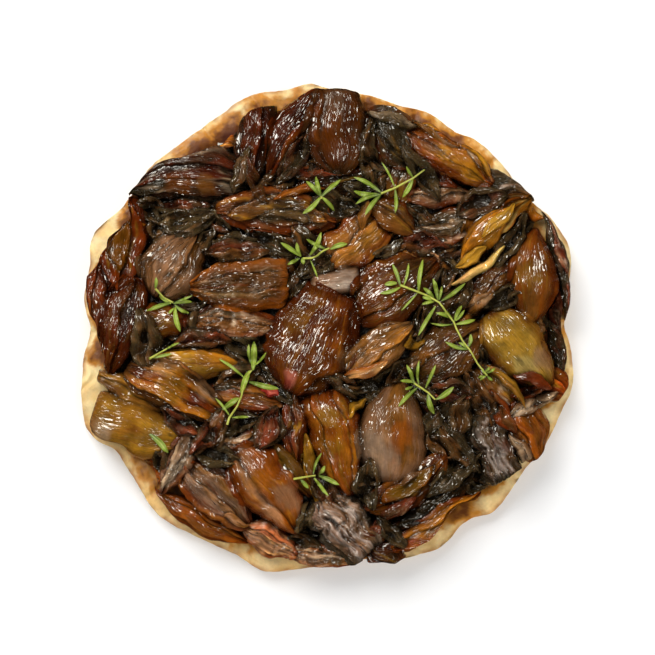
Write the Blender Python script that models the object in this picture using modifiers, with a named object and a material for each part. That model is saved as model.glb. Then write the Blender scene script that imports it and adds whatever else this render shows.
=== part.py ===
"""Shallot tarte tatin: a puff pastry dish, the caramel bed in it and the cooked shallots on top.

Metres, +Z up. The origin is the middle of the tart's footprint, on the table.
"""

import math

import bmesh
import bpy
from mathutils import Matrix, Vector

MM = 0.001

# Driving dimensions
GAP = 0.3 * MM  # left between any two pieces
RIM_RADIUS = 107 * MM  # the pastry lip, where it neither sticks out nor draws in
RIM_HEIGHT = 10 * MM
LIP_DROOP = 0.3  # how far a lip sinks for each metre that it sticks out
FLOOR_HEIGHT = 5 * MM  # thickness of the pastry under the caramel
BED_TOP = 10.3 * MM
BED_RADIUS = 93 * MM
LIP_STARTS = 95 * MM  # the outline moves the pastry from here outwards
PASTRY_STEPS = 96
BED_STEPS = 32
SHALLOT_SIDES = 10
SHALLOT_RINGS = 8
DIRECTIONS = 240  # tried when looking for the plane between two shallots

# The pastry's half section at RIM_RADIUS, from the middle of its floor over the rim to the base
PASTRY_SECTION = (
    (0, FLOOR_HEIGHT),
    (84 * MM, FLOOR_HEIGHT),
    (94 * MM, FLOOR_HEIGHT + 1.2 * MM),
    (99.5 * MM, RIM_HEIGHT - 1.5 * MM),
    (103.5 * MM, RIM_HEIGHT),
    (RIM_RADIUS, RIM_HEIGHT - 1.5 * MM),
    (105 * MM, RIM_HEIGHT - 4.5 * MM),
    (100 * MM, 2 * MM),
    (91 * MM, 0),
    (0, 0),
)

BED_SECTION = (
    (0, BED_TOP),
    (86 * MM, BED_TOP),
    (BED_RADIUS - 1 * MM, BED_TOP - 0.8 * MM),
    (BED_RADIUS, BED_TOP - 2.2 * MM),
    (BED_RADIUS - 1.5 * MM, FLOOR_HEIGHT + 1.6 * MM),
    (83 * MM, FLOOR_HEIGHT + GAP),
    (0, FLOOR_HEIGHT + GAP),
)

# Where the hand-rolled pastry's outline turns: (degrees from +X, reach in millimetres)
OUTLINE = (
    (0, 104.5), (10, 109), (18, 113.5), (24, 111.5), (31, 107), (37, 102), (44, 102), (50, 107),
    (57, 103.5), (65, 105.5), (70, 104), (76, 98), (86, 102), (93, 109), (100, 107), (108, 109),
    (119, 105), (129, 104.5), (138, 106.5), (147, 103), (153, 108.5), (159, 113), (166, 109),
    (174, 109.5), (180, 105), (189, 110.5), (198, 115), (204, 117.5), (210, 108.5), (217, 109),
    (228, 112.5), (240, 109.5), (248, 108.5), (255, 112.5), (264, 108), (270, 105), (280, 104),
    (290, 108.5), (297, 110), (306, 105), (312, 110.5), (324, 107.5), (331, 110), (339, 110),
    (346, 112), (354, 109),
)

COLOURS = {  # base colour, roughness
    "puff_pastry": ((0.74, 0.50, 0.22), 0.7),
    "dark_caramel": ((0.03, 0.018, 0.01), 0.2),
    "amber_shallot": ((0.28, 0.10, 0.02), 0.25),
    "ochre_shallot": ((0.30, 0.15, 0.03), 0.25),
    "brown_shallot": ((0.13, 0.04, 0.02), 0.25),
    "charred_shallot": ((0.035, 0.02, 0.015), 0.3),
}

# One shallot a row: name, middle x and y, lift above the bed, length, width, height, heading of
# its tip (degrees from +X), sideways bow, tier, form and colour. Lengths are in millimetres. A
# piece of a higher tier lies on its neighbours and keeps its whole shape.
SHALLOTS = (
    ("rim_01", 4, 87, 0, 38, 26, 16, 92, 0, 1, "blunt", "amber_shallot"),
    ("rim_02", -12, 86, 1, 48, 12, 14, 58, 4, 2, "bulb", "brown_shallot"),
    ("rim_03", -30, 81, 0, 37, 19, 15, 97, 0, 1, "blunt", "brown_shallot"),
    ("rim_04", -54, 78.5, 0, 34, 11, 8, 10, 2, 0, "leaf", "brown_shallot"),
    ("rim_05", -62, 63, 0, 53, 24, 16, 190, -4, 2, "half", "charred_shallot"),
    ("rim_06", -88.5, 35, 0, 43, 19, 15, 82, 2, 1, "half", "amber_shallot"),
    ("rim_07", -99.5, 12, 0, 40, 14, 13, 82, 3, 1, "bulb", "brown_shallot"),
    ("rim_08", -91, 1, 1, 42, 17, 16, 256, 0, 2, "bulb", "brown_shallot"),
    ("rim_09", -87, -28, 0, 37, 10, 11, 153, 0, 0, "leaf", "ochre_shallot"),
    ("rim_10", -82, -45, 0, 44, 22, 14, 163, 0, 1, "blunt", "ochre_shallot"),
    ("rim_11", -65, -58, 1, 33, 10, 13, 242, 0, 2, "leaf", "charred_shallot"),
    ("rim_12", -49, -73, 0, 39, 20, 15, -45, 0, 1, "bulb", "brown_shallot"),
    ("rim_13", -56, -82.5, 0, 46, 10, 8, -30, -2, 0, "leaf", "brown_shallot"),
    ("rim_14", -27, -71, 1, 45, 22, 17, -54, 0, 2, "bulb", "amber_shallot"),
    ("rim_15", -17, -62, 0, 30, 13, 13, -52, 0, 0, "bulb", "ochre_shallot"),
    ("rim_16", -24, -94, 0, 30, 14, 10, -28, 0, 0, "leaf", "brown_shallot"),
    ("rim_17", 7, -87, 1, 31, 20, 13, -48, 0, 2, "blunt", "brown_shallot"),
    ("rim_18", -3, -101, 0, 34, 10, 9, -6, 0, 1, "leaf", "charred_shallot"),
    ("rim_19", 24, -100, 0, 25, 12, 10, -28, 0, 1, "leaf", "charred_shallot"),
    ("rim_20", 46.5, -84, 0, 45, 12, 12, 33, -3, 1, "bulb", "brown_shallot"),
    ("rim_21", 47, -71, 0, 50, 10, 11, 42, -4, 0, "leaf", "charred_shallot"),
    ("rim_22", 33, -66, 1, 41, 13, 13, 32, -4, 2, "half", "ochre_shallot"),
    ("rim_23", 73, -53, 1, 30, 15, 15, -72, 0, 2, "bulb", "charred_shallot"),
    ("rim_24", 88, -46, 0, 30, 17, 14, -65, 0, 1, "bulb", "brown_shallot"),
    ("rim_25", 84, -10, 1, 40, 23, 17, -50, 0, 2, "bulb", "ochre_shallot"),
    ("rim_26", 98.5, -25, 0, 19, 13, 10, -35, 0, 1, "leaf", "brown_shallot"),
    ("rim_27", 75, -29, 0, 28, 12, 12, -47, 2, 1, "bulb", "brown_shallot"),
    ("rim_28", 90, 21, 0, 43, 20, 17, 86, 0, 1, "bulb", "amber_shallot"),
    ("rim_29", 98.5, 27, 0, 50, 9, 11, -76, 3, 0, "leaf", "charred_shallot"),
    ("rim_30", 74, 47, 0, 36, 15, 13, 38, 0, 1, "half", "ochre_shallot"),
    ("rim_31", 75, 26, 1, 46, 9, 13, 42, -2, 1, "bulb", "brown_shallot"),
    ("rim_32", 78, 62, 0, 31, 12, 12, -10, 0, 1, "bulb", "charred_shallot"),
    ("rim_33", 53.5, 74.5, 1, 42, 20, 16, -33, 2, 2, "half", "amber_shallot"),
    ("rim_34", 28, 83, 0, 31, 19, 15, -50, 0, 1, "bulb", "charred_shallot"),
    ("inner_01", -7, -6, 1, 47, 36, 16, 62, 0, 3, "bulb", "amber_shallot"),
    ("inner_02", 3, 20, 0, 20, 10, 14, 8, 0, 1, "leaf", "brown_shallot"),
    ("inner_03", 12, 38, 0, 29, 18, 14, 38, 0, 1, "blunt", "brown_shallot"),
    ("inner_04", 27, 47, 1, 25, 12, 14, -32, 2, 2, "leaf", "brown_shallot"),
    ("inner_05", 30, 18, 0, 42, 25, 15, 35, 0, 1, "bulb", "amber_shallot"),
    ("inner_06", 22, -9.5, 1, 36, 15, 14, 38, 0, 2, "bulb", "brown_shallot"),
    ("inner_07", 29, -46, 0, 45, 28, 18, 76, 0, 2, "bulb", "ochre_shallot"),
    ("inner_08", 4, -51, 0, 45, 20, 16, 104, 0, 2, "blunt", "amber_shallot"),
    ("inner_09", -15, -43, 0, 34, 9, 12, 93, 0, 1, "leaf", "charred_shallot"),
    ("inner_10", -36, -51, 0, 33, 13, 13, 14, 0, 1, "bulb", "charred_shallot"),
    ("inner_11", -34, -31, 0, 37, 12, 12, -14, 0, 0, "bulb", "brown_shallot"),
    ("inner_12", -65, -31, 1, 52, 18, 16, -28, 2, 3, "bulb", "amber_shallot"),
    ("inner_13", -58, -17, 0, 40, 14, 15, -5, 1, 2, "bulb", "ochre_shallot"),
    ("inner_14", -73, 3, 0, 17, 14, 14, 0, 0, 1, "bulb", "amber_shallot"),
    ("inner_15", -68, 28, 0, 31, 25, 16, 55, 0, 2, "bulb", "brown_shallot"),
    ("inner_16", -39, 18.5, 0, 41, 21, 16, 4, 0, 1, "blunt", "brown_shallot"),
    ("inner_17", -41, 3, 0, 39, 13, 13, -4, 0, 1, "bulb", "brown_shallot"),
    ("inner_18", -23, 47, 0, 51, 17, 14, 176, -3, 1, "half", "charred_shallot"),
    ("inner_19", 1, 67, 0, 40, 13, 12, 13, -2, 0, "leaf", "brown_shallot"),
    ("inner_20", 50, 57, 0, 29, 9, 12, 2, 1, 1, "bulb", "charred_shallot"),
    ("inner_21", 55, 45, 0, 30, 14, 12, 5, 0, 0, "leaf", "charred_shallot"),
    ("inner_22", 54, -10, 0, 37, 23, 14, 38, 0, 1, "bulb", "brown_shallot"),
    ("inner_23", 31, 65, 0, 24, 15, 11, 62, 0, 0, "bulb", "brown_shallot"),
)


def clear_scene():
    for obj in list(bpy.data.objects):
        bpy.data.objects.remove(obj)


def make_material(name):
    colour, roughness = COLOURS[name]
    material = bpy.data.materials.new(name)
    material.use_nodes = True
    shader = material.node_tree.nodes["Principled BSDF"]
    shader.inputs["Base Color"].default_value = (*colour, 1)
    shader.inputs["Roughness"].default_value = roughness
    shader.inputs["Metallic"].default_value = 0
    return material


def make_collection(name):
    collection = bpy.data.collections.new(name)
    bpy.context.scene.collection.children.link(collection)
    return collection


def make_object(name, mesh, collection, material):
    obj = bpy.data.objects.new(name, mesh)
    collection.objects.link(obj)
    mesh.materials.clear()
    mesh.materials.append(material)
    mesh.shade_smooth()
    mesh.set_sharp_from_angle(angle=math.radians(40))
    return obj


def turned_mesh(name, section, steps):
    """A mesh made by turning a half section about Z with a Screw modifier."""
    profile = bpy.data.meshes.new(name + "_section")
    points = [(radius, 0, height) for radius, height in section]
    profile.from_pydata(points, [(i, i + 1) for i in range(len(points) - 1)], [])
    helper = bpy.data.objects.new(name + "_section", profile)
    bpy.context.scene.collection.objects.link(helper)
    screw = helper.modifiers.new("Screw", "SCREW")
    screw.steps = steps
    screw.render_steps = steps
    screw.use_merge_vertices = True
    screw.merge_threshold = 0.01 * MM
    turned = bpy.data.meshes.new_from_object(
        helper.evaluated_get(bpy.context.evaluated_depsgraph_get())
    )
    bpy.data.objects.remove(helper)
    turned.name = name
    return turned


def smoothstep(low, high, value):
    t = min(1, max(0, (value - low) / (high - low)))
    return t * t * (3 - 2 * t)


def reach_at(angle):
    """How far the pastry's outline is from the middle at this angle, in metres."""
    degrees = math.degrees(angle) % 360
    ends = OUTLINE + ((OUTLINE[0][0] + 360, OUTLINE[0][1]),)
    for (before, low), (after, high) in zip(ends, ends[1:]):
        if degrees <= after:
            return (low + (high - low) * smoothstep(before, after, degrees)) * MM
    raise ValueError("the outline has to start at 0 degrees")


def make_pastry(collection, material):
    mesh = turned_mesh("pastry", PASTRY_SECTION, PASTRY_STEPS)
    for vertex in mesh.vertices:
        radius = vertex.co.xy.length
        share = smoothstep(LIP_STARTS, RIM_RADIUS, radius)
        if share == 0:
            continue
        sticks_out = reach_at(math.atan2(vertex.co.y, vertex.co.x)) - RIM_RADIUS
        vertex.co.xy *= (radius + share * sticks_out) / radius
        if vertex.co.z > FLOOR_HEIGHT:
            vertex.co.z -= share * max(0, sticks_out) * LIP_DROOP
    return make_object("pastry", mesh, collection, material)


def make_bed(collection, material):
    mesh = turned_mesh("caramel_bed", BED_SECTION, BED_STEPS)
    return make_object("caramel_bed", mesh, collection, material)


def girth(along, form):
    """Half width at a place along the shallot, from -1 at the root to 1 at the tip, as a share."""
    if form == "leaf":
        return (1 - abs(along) ** 2.8) ** 0.6
    if along < 0:
        return (1 - abs(along) ** 2.6) ** 0.6
    if form == "blunt":
        return (1 - along**6) ** 0.5 * (1 - 0.25 * along)
    return (1 - along**2.2) ** 0.75


def thickness(side, form):
    """Height at a place around the shallot, from -1 below to 1 above, as a share of the whole."""
    widest = {"bulb": 0.32, "blunt": 0.35, "half": 0.6, "leaf": 0.4}[form]
    if side < 0:
        return widest + side * widest
    flatness = 0.5 if form == "half" else 1
    return widest + (1 - widest) * side**flatness


def make_shallot(row, collection, materials):
    name, x, y, lift, length, width, height, heading, bow, _, form, colour = row
    bm = bmesh.new()
    bmesh.ops.create_uvsphere(
        bm, u_segments=SHALLOT_SIDES, v_segments=SHALLOT_RINGS, radius=1
    )
    bmesh.ops.rotate(bm, verts=bm.verts, matrix=Matrix.Rotation(math.pi / 2, 3, "Y"))
    for vertex in bm.verts:
        along = max(-1, min(1, vertex.co.x))
        around = vertex.co.yz.length
        share = girth(along, form)
        across, up = (vertex.co.yz / around) if around > 1e-6 else (0, 0)
        vertex.co = (
            along * length / 2 * MM,
            (across * share * width / 2 + bow * (1 - along**2)) * MM,
            (thickness(up * share, form) * height + lift) * MM + BED_TOP + GAP,
        )
    bmesh.ops.rotate(
        bm, verts=bm.verts, matrix=Matrix.Rotation(math.radians(heading), 3, "Z")
    )
    bmesh.ops.translate(bm, verts=bm.verts, vec=(x * MM, y * MM, 0))
    bmesh.ops.recalc_face_normals(bm, faces=bm.faces)
    mesh = bpy.data.meshes.new(name)
    bm.to_mesh(mesh)
    bm.free()
    return make_object("shallot_" + name, mesh, collection, materials[colour])


def spread_directions(count):
    """Unit vectors spread evenly over a sphere."""
    turn = math.pi * (3 - math.sqrt(5))
    found = []
    for i in range(count):
        z = 1 - 2 * (i + 0.5) / count
        ring = math.sqrt(1 - z * z)
        found.append(Vector((ring * math.cos(i * turn), ring * math.sin(i * turn), z)))
    return found


def furthest(mesh, direction):
    return max(vertex.co.dot(direction) for vertex in mesh.vertices)


def least_overlap(first, second, directions):
    """(overlap, direction) along the way from first to second in which they overlap least."""
    found = None
    for direction in directions:
        overlap = furthest(first, direction) + furthest(second, -direction)
        if found is None or overlap < found[0]:
            found = (overlap, direction)
            if overlap < -GAP:
                break
    return found


def cut_away(mesh, point, normal):
    """Removes what lies beyond the plane, on the side its normal points to, and closes the cut."""
    bm = bmesh.new()
    bm.from_mesh(mesh)
    cut = bmesh.ops.bisect_plane(
        bm,
        geom=bm.verts[:] + bm.edges[:] + bm.faces[:],
        dist=0.01 * MM,
        plane_co=point,
        plane_no=normal,
        clear_outer=True,
    )
    rim = [element for element in cut["geom_cut"] if isinstance(element, bmesh.types.BMEdge)]
    if rim:
        bmesh.ops.edgenet_fill(bm, edges=rim)
        bmesh.ops.remove_doubles(bm, verts=bm.verts, dist=0.02 * MM)
        bmesh.ops.recalc_face_normals(bm, faces=bm.faces)
    bm.to_mesh(mesh)
    bm.free()


def press_together(pieces):
    """Flattens each two shallots against a plane between them, so that they touch with a GAP."""
    directions = spread_directions(DIRECTIONS)
    ordered = sorted(pieces, key=lambda piece: -piece[1])
    for i, (upper, upper_tier) in enumerate(ordered):
        for lower, lower_tier in ordered[i + 1 :]:
            overlap, direction = least_overlap(upper.data, lower.data, directions)
            if overlap < -GAP:
                continue
            edge = furthest(upper.data, direction)
            if upper_tier == lower_tier:
                edge -= (overlap + GAP) / 2
                cut_away(upper.data, direction * edge, direction)
            cut_away(lower.data, direction * (edge + GAP), -direction)


def centre_on_origin(objects, parent):
    """Moves the tart so that the middle of its outline is over the origin."""
    corners = [obj.matrix_world @ vertex.co for obj in objects for vertex in obj.data.vertices]
    for axis in (0, 1):
        values = [corner[axis] for corner in corners]
        parent.location[axis] = -(min(values) + max(values)) / 2


def main():
    clear_scene()
    collection = make_collection("tarte_tatin")
    materials = {name: make_material(name) for name in COLOURS}
    pastry = make_pastry(collection, materials["puff_pastry"])
    bed = make_bed(collection, materials["dark_caramel"])
    tier_column = 9
    pieces = [(make_shallot(row, collection, materials), row[tier_column]) for row in SHALLOTS]
    press_together(pieces)

    tart = bpy.data.objects.new("tart", None)
    collection.objects.link(tart)
    objects = [pastry, bed] + [piece for piece, _ in pieces]
    for obj in objects:
        obj.parent = tart
    centre_on_origin(objects, tart)


main()
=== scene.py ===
"""The looks of the shallot tarte tatin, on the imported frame."""

import math
from types import SimpleNamespace

import bpy
import numpy as np
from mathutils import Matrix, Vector


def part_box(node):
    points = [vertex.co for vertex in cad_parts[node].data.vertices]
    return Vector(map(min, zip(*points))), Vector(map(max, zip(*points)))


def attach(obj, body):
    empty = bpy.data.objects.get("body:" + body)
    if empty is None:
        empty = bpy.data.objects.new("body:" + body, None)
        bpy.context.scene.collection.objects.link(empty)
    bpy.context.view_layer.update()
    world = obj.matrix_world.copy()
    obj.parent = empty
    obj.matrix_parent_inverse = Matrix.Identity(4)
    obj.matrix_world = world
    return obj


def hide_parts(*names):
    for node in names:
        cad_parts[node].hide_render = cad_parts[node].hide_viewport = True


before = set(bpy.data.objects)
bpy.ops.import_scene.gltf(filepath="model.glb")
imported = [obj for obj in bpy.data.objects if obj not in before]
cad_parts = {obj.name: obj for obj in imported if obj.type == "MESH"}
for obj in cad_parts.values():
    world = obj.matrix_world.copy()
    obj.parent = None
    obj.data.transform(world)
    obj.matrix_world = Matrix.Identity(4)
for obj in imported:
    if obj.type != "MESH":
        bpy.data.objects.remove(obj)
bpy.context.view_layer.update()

MM = 0.001
LENGTH_STEP = 0.55  # mm between the rings of a shallot
GIRTH_STEP = 0.46  # mm between the points of a ring
COARSE = 1.4  # times those steps for a thin leaf
SINK = 1.5  # mm that a shallot sinks into the caramel
REACH = 1.6  # mm that a cooked shallot reaches past its CAD solid
WAIST = 0.35  # how far up a shallot its crown begins
CEILING = 26.6  # mm where the highest wrinkles begin to be pressed flat
THYME_CEILING = 28  # mm, the same for the thyme
RIM_RADIUS = 107  # mm, the mean radius of the pastry's lip
RIM_INNER = 84  # mm where its bare part begins to rise
RIM_TOP = 9.0  # mm, about where its upper face lies
RIM_SPILL = 0.3  # mm that a piece reaches over the bare part of the rim
HOLD = 2.5  # mm over which a piece is pressed back from it
PASTRY_SPOKES = 96  # as many as the CAD pastry's rim has
BED_LIFT = 1.6  # mm that the cooked caramel stands over the CAD bed
BED_RADIUS = 95.5  # mm


def srgb(*channels):
    """Linear colour from 8-bit display values."""
    share = np.array(channels) / 255
    return np.where(share <= 0.04045, share / 12.92, ((share + 0.055) / 1.055) ** 2.4)


# The film and mauve tones are partly the colour of the thin wet skin and partly painted sheen: the light's
# reflection on crests, patches and flat tops.
DISPLAYED = {
    "amber": (120, 64, 10), "honey": (148, 96, 20), "ochre": (142, 106, 28), "yellow": (158, 122, 42),
    "olive": (122, 90, 28), "rust": (124, 52, 8), "mahogany": (90, 36, 5), "burgundy": (82, 34, 18),
    "brown": (108, 70, 26), "mauve": (146, 112, 90), "dusk": (118, 88, 68), "umber": (76, 49, 24),
    "char": (45, 38, 26), "soot": (62, 52, 36), "film": (160, 144, 132), "pale": (196, 174, 106),
    "beige": (204, 160, 112), "red": (150, 44, 44), "pink": (206, 122, 112),
}
TONES = {name: srgb(*channels) for name, channels in DISPLAYED.items()}
WARMTH = np.array((1.14, 0.97, 0.7))  # caramel soaks every shallot


# ---- noise


def lattice(ix, iy, seed):
    """A steady number from 0 to 1 for whole numbers."""
    h = (ix * 374761393 + iy * 668265263 + seed * 974634777) & 0xFFFFFFFF
    h = ((h ^ (h >> 13)) * 1274126177) & 0xFFFFFFFF
    return ((h ^ (h >> 16)) & 0xFFFF) / 65535.0


def chance(first, second):
    return float(lattice(np.int64(first), np.int64(second), 7))


def noise(x, y, seed):
    """Smooth gradient noise from about -1 to 1, with cells of size 1."""
    x, y = np.broadcast_arrays(np.asarray(x, float), np.asarray(y, float))
    x0 = np.floor(x).astype(np.int64)
    y0 = np.floor(y).astype(np.int64)
    fx, fy = x - x0, y - y0
    sx = fx * fx * fx * (fx * (fx * 6 - 15) + 10)
    sy = fy * fy * fy * (fy * (fy * 6 - 15) + 10)
    total = np.zeros_like(fx)
    for dx in (0, 1):
        for dy in (0, 1):
            angle = lattice(x0 + dx, y0 + dy, seed) * 2 * math.pi
            weight = (sx if dx else 1 - sx) * (sy if dy else 1 - sy)
            total += (np.cos(angle) * (fx - dx) + np.sin(angle) * (fy - dy)) * weight
    return total * 1.45


def fbm(x, y, seed, octaves=4):
    """Cloudy noise of several sizes."""
    total = 0
    for octave in range(octaves):
        total = total + noise(x * 2**octave, y * 2**octave, seed + octave) * 0.5**octave
    return total / 1.6


def ridged(x, y, seed, octaves=3):
    """Sharp crests, from 0 in the valleys to 1 on a crest."""
    total = 0
    norm = 0
    for octave in range(octaves):
        crest = 1 - np.abs(noise(x * 2**octave, y * 2**octave, seed + octave))
        total = total + crest**2 * 0.55**octave
        norm += 0.55**octave
    return total / norm


def smooth(low, high, value):
    t = np.clip((value - low) / (high - low), 0, 1)
    return t * t * (3 - 2 * t)


def mix(a, b, share):
    return a + (b - a) * np.asarray(share)[..., None]


def press(value, limit, give):
    """Values past a limit are pressed back until they pass it by at most some give."""
    return np.where(value > limit, limit + give * np.tanh((value - limit) / give), value)


# ---- meshes


def ring_faces(rings, sides):
    """Quads between closed rings of points."""
    i, j = np.meshgrid(np.arange(rings - 1), np.arange(sides), indexing="ij")
    k = (j + 1) % sides
    quads = np.stack([i * sides + j, i * sides + k, (i + 1) * sides + k, (i + 1) * sides + j], -1)
    return quads.reshape(-1, 4)


# What the points carry: their colour, and on shallots also their place along and across the
# grain (mm) and how wrinkled the glaze is
LAYERS = (
    ("tint", "FLOAT_COLOR", "color"),
    ("grain", "FLOAT_VECTOR", "vector"),
    ("wrinkled", "FLOAT", "value"),
)


def finish_piece(name, surfaces, material, node=None):
    """One piece from closed surfaces: each has rings of points (mm) and then the first layers."""
    faces = []
    start = 0
    for points, *_ in surfaces:
        faces.append(ring_faces(*points.shape[:2]) + start)
        start += points.shape[0] * points.shape[1]
    stacks = [[part.reshape(-1, part.shape[-1]) for part in parts] for parts in zip(*surfaces)]
    points, tint, *others = (np.concatenate(stack) for stack in stacks)
    mesh = bpy.data.meshes.new(name)
    mesh.from_pydata((points * MM).tolist(), [], np.concatenate(faces).tolist())
    colour = np.concatenate([np.clip(tint, 0, 1), np.ones((len(tint), 1))], 1)
    for (layer, kind, key), values in zip(LAYERS, (colour, *others)):
        data = mesh.attributes.new(layer, kind, "POINT").data
        data.foreach_set(key, values.astype(np.float32).ravel())
    mesh.shade_smooth()
    mesh.validate()
    mesh.materials.append(material)
    obj = bpy.data.objects.new(name, mesh)
    bpy.context.scene.collection.objects.link(obj)
    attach(obj, "root")
    if node:
        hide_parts(node)


def grid_normals(points):
    normal = np.cross(np.gradient(points, axis=0), np.gradient(points, axis=1))
    return normal / np.maximum(np.linalg.norm(normal, axis=-1, keepdims=True), 1e-12)


# ---- what lies on what


class Terrain:
    """The height of what already lies on the tart, on a square grid, in mm."""

    cell = 0.8
    span = 120

    def __init__(self, floor):
        self.count = int(2 * self.span / self.cell) + 1
        self.height = np.full((self.count, self.count), float(floor))
        wave = np.fft.fftfreq(self.count, self.cell)
        self.square = wave[:, None] ** 2 + wave[None, : self.count // 2 + 1] ** 2

    def add(self, points):
        cells = np.rint((points[..., :2] + self.span) / self.cell).astype(int)
        cells = np.clip(cells, 0, self.count - 1)
        np.maximum.at(self.height, (cells[..., 1], cells[..., 0]), points[..., 2])

    def blurred(self, reach):
        spread = np.exp(-2 * (math.pi * reach) ** 2 * self.square)
        return np.fft.irfft2(np.fft.rfft2(self.height) * spread, s=self.height.shape)

    def sample(self, grid, points):
        """The grid's height under each point."""
        u, v = (np.clip((points[..., k] + self.span) / self.cell, 0, self.count - 1.001) for k in (0, 1))
        i, j = u.astype(int), v.astype(int)
        fu, fv = u - i, v - j
        low = grid[j, i] * (1 - fu) + grid[j, i + 1] * fu
        high = grid[j + 1, i] * (1 - fu) + grid[j + 1, i + 1] * fu
        return low * (1 - fv) + high * fv


# ---- the pastry's outline


# Where the pastry's rim stays bare: at how many degrees, and how wide (mm)
BARE = (
    (-172, 11), (-163, 3.5), (-155, 2.5), (-147, 6), (-140, 8), (-128, 3), (-115, 0.5), (-105, 6),
    (-97, 3), (-90, -1), (-83, -1.5), (-74, -1), (-66, 6), (-58, 9), (-48, 10), (-41, 6), (-32, 0),
    (-18, 4.5), (-8, 0), (8, 0.5), (21, 3.5), (33, -1.5), (46, 5), (58, 6), (66, 4), (76, -0.5),
    (90, 1.5), (99, 6.5), (110, 8), (120, 12), (127, 9), (135, 3), (146, -1), (151, 8), (160, 9),
    (168, 1), (176, 3), (182, 5),
)


def corners(node):
    return np.array([v.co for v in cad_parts[node].data.vertices]) / MM


def pastry_reach(angles):
    """The CAD pastry's outline: how far it reaches at each angle, in mm."""
    co = corners("pastry")
    radius = np.hypot(co[:, 0], co[:, 1])
    turn = np.arctan2(co[:, 1], co[:, 0])
    rim = radius > 0.88 * radius.max()
    spokes = np.linspace(-math.pi, math.pi, PASTRY_SPOKES, endpoint=False)
    near = np.abs((turn[None, rim] - spokes[:, None] + math.pi) % (2 * math.pi) - math.pi)
    far = np.where(near < math.pi / PASTRY_SPOKES, radius[rim], 0).max(1)
    whole = np.interp(angles, spokes[far > 0], far[far > 0], period=2 * math.pi)
    window = np.hanning(11)[1:-1]
    return np.convolve(np.pad(whole, 4, mode="wrap"), window / window.sum(), "valid")


TURNS = np.linspace(-math.pi, math.pi, 720, endpoint=False)
OUTLINE = pastry_reach(TURNS)


def hold_in(points, spare):
    """Press a piece back from the bare rim of the pastry, and a thin one by some spare mm more."""
    x, y = points[..., 0], points[..., 1]
    radius = np.hypot(x, y)
    angle = np.arctan2(y, x)
    degrees, widths = np.array(BARE).T
    bare = np.interp(np.degrees(angle), degrees, widths, period=360) + 0.9 * noise(x / 7, y / 7, 610)
    start = np.interp(angle, TURNS, OUTLINE, period=2 * math.pi) - bare + RIM_SPILL - HOLD - spare
    scale = np.where(radius > start, press(radius, start, HOLD) / np.maximum(radius, 1), 1)
    points[..., :2] *= scale[..., None]


# ---- one cooked piece

# Half width at nine stations from root to tip, as a share of the widest
PROFILES = {
    "bulb": (0.14, 0.62, 0.88, 0.99, 1, 0.93, 0.76, 0.5, 0.1),
    "blunt": (0.2, 0.55, 0.76, 0.9, 0.98, 1, 0.98, 0.92, 0.78),
    "leaf": (0.05, 0.44, 0.76, 0.95, 1, 0.93, 0.74, 0.46, 0.05),
    "egg": (0.3, 0.72, 0.92, 1, 1, 0.96, 0.88, 0.76, 0.6),
    "sheet": (0.8, 0.92, 1, 1, 0.98, 1, 1, 0.95, 0.82),
    "half": (0.12, 0.62, 0.87, 0.98, 1, 0.97, 0.84, 0.6, 0.12),
    "pear": (0.36, 0.76, 0.95, 1, 0.97, 0.88, 0.72, 0.48, 0.12),
    "barrel": (0.3, 0.66, 0.86, 0.97, 1, 0.97, 0.88, 0.74, 0.52),
}


def axes(turn):
    """Unit vectors along a heading (radians) and to its left."""
    axis = np.array([math.cos(turn), math.sin(turn)])
    return axis, np.array([-axis[1], axis[0]])


def measure(node, heading):
    """Where a CAD shallot lies along its heading (degrees), in mm."""
    co = corners(node)
    axis, side = axes(math.radians(heading))
    along = co[:, :2] @ axis
    across = co[:, :2] @ side
    middle = (along.min() + along.max()) / 2
    half = (along.max() - along.min()) / 2
    waist = across[np.abs(along - middle) < 0.45 * half]
    left, right = waist.min(), waist.max()
    return SimpleNamespace(
        axis=axis, side=side, middle=axis * middle + side * (left + right) / 2, half_length=half,
        half_width=(right - left) / 2, low=co[:, 2].min(), high=co[:, 2].max(),
    )


def make_grid(size, look, seed):
    """A piece's own grid: T from root to tip and S from side to side, and X and Y in mm."""
    reach = 0 if look.thin else REACH
    length = size.half_length + reach
    width = size.half_width * look.wide + reach
    step = COARSE if look.thin else 1
    rows = max(12, int(2 * length / (LENGTH_STEP * step)))
    across = max(10, int(2 * width / (GIRTH_STEP * step)))
    T, S = np.meshgrid(np.linspace(-1, 1, rows), np.linspace(-1, 1, across), indexing="ij")
    grid = SimpleNamespace(T=T, S=S, X=T * length, Y=S * width, length=length, width=width, seed=seed)
    grid.out = np.abs(S)
    grid.hand = np.sign(S) * 3.3
    grid.rim = np.minimum((1 - grid.out) * width, (1 - np.abs(T)) * length)
    return grid


def outline(grid, size, look):
    """The piece seen from above: an angular profile, each side torn and pinched by itself."""
    T, S, X, Y, hand, seed = grid.T, grid.S, grid.X, grid.Y, grid.hand, grid.seed
    share = np.interp(T[:, 0], np.linspace(-1, 1, 9), PROFILES[look.form])
    share = np.convolve(np.pad(share, 2, mode="edge"), np.ones(5) / 5, "valid")[:, None]
    edge = 1 + look.jag * (0.55 * noise(X / 9 + seed, hand, seed) + 0.35 * noise(X / 3.7, hand, seed + 1))
    y = S * share * grid.width * edge
    y = y + look.bow * (1 - T**2) - look.bow * 0.6
    y = y + 1.3 * noise(T * 1.7, seed * 1.7, seed + 3)
    torn = smooth(0.55, 1.0, np.abs(T)) * share
    x = X - np.sign(T) * torn * look.jag * 7 * np.abs(noise(Y / 3.5, np.sign(T) * 2.1, seed + 2))
    return size.middle + x[..., None] * size.axis + y[..., None] * size.side


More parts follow.
